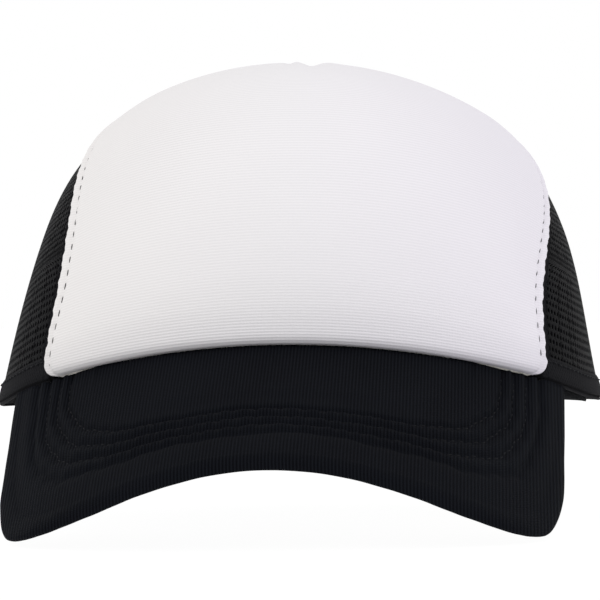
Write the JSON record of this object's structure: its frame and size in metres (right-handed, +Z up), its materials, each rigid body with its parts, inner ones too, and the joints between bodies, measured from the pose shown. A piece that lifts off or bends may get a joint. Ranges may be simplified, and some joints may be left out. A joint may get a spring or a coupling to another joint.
{
  "type": "trucker cap",
  "caption": "Trucker cap with a foam-backed front panel, open mesh side and rear panels, a curved padded bill and a two-part plastic snap strap across the rear opening.",
  "frame": {"origin": "middle of the head opening, level with the lower edge of the crown at its sides", "axes": "+Z up to the button, -Y forwards along the bill, +X to the wearer's left; the head comes in from below"},
  "size_m": [0.1858, 0.2618, 0.139],
  "materials": {
    "white_knit": "matte fine knit",
    "white_foam": "matte soft foam",
    "black_mesh": "open polyester mesh",
    "black_knit": "matte ribbed knit",
    "black_tape": "matte woven tape",
    "board_plastic": "flat",
    "black_plastic": "satin moulded",
    "steel": "plain",
    "white_label": "satin woven, blank"
  },
  "bodies": {
    "cap": {"front_panel_face": "white_knit", "front_panel_foam": "white_foam", "left_side_mesh_panel": "black_mesh", "left_rear_mesh_panel": "black_mesh", "right_side_mesh_panel": "black_mesh", "right_rear_mesh_panel": "black_mesh", "left_front_seam_tape": "black_tape", "left_rear_seam_tape": "black_tape", "right_front_seam_tape": "black_tape", "right_rear_seam_tape": "black_tape", "centre_back_seam_tape": "black_tape", "sweatband": "black_knit", "care_label": "white_label", "rear_opening_binding": "black_tape", "bill_top_cover": "black_knit", "bill_board": "board_plastic", "bill_under_cover": "black_knit", "top_button_cap": "black_knit", "top_button_shank": "steel", "right_strap_flange": "black_plastic", "left_strap_flange": "black_plastic"},
    "right_strap": {"right_snap_strap": "black_plastic"},
    "left_strap": {"left_snap_strap": "black_plastic"}
  },
  "joints": [
    {"name": "right_strap_swing", "type": "hinge", "parent": "cap", "child": "right_strap", "pos_m": [-0.0384, 0.0883, 0.012], "axis": [0, 0, 1], "range_deg": [0, 75]},
    {"name": "left_strap_swing", "type": "hinge", "parent": "cap", "child": "left_strap", "pos_m": [0.037, 0.0854, 0.012], "axis": [0, 0, 1], "range_deg": [0, 35]}
  ]
}
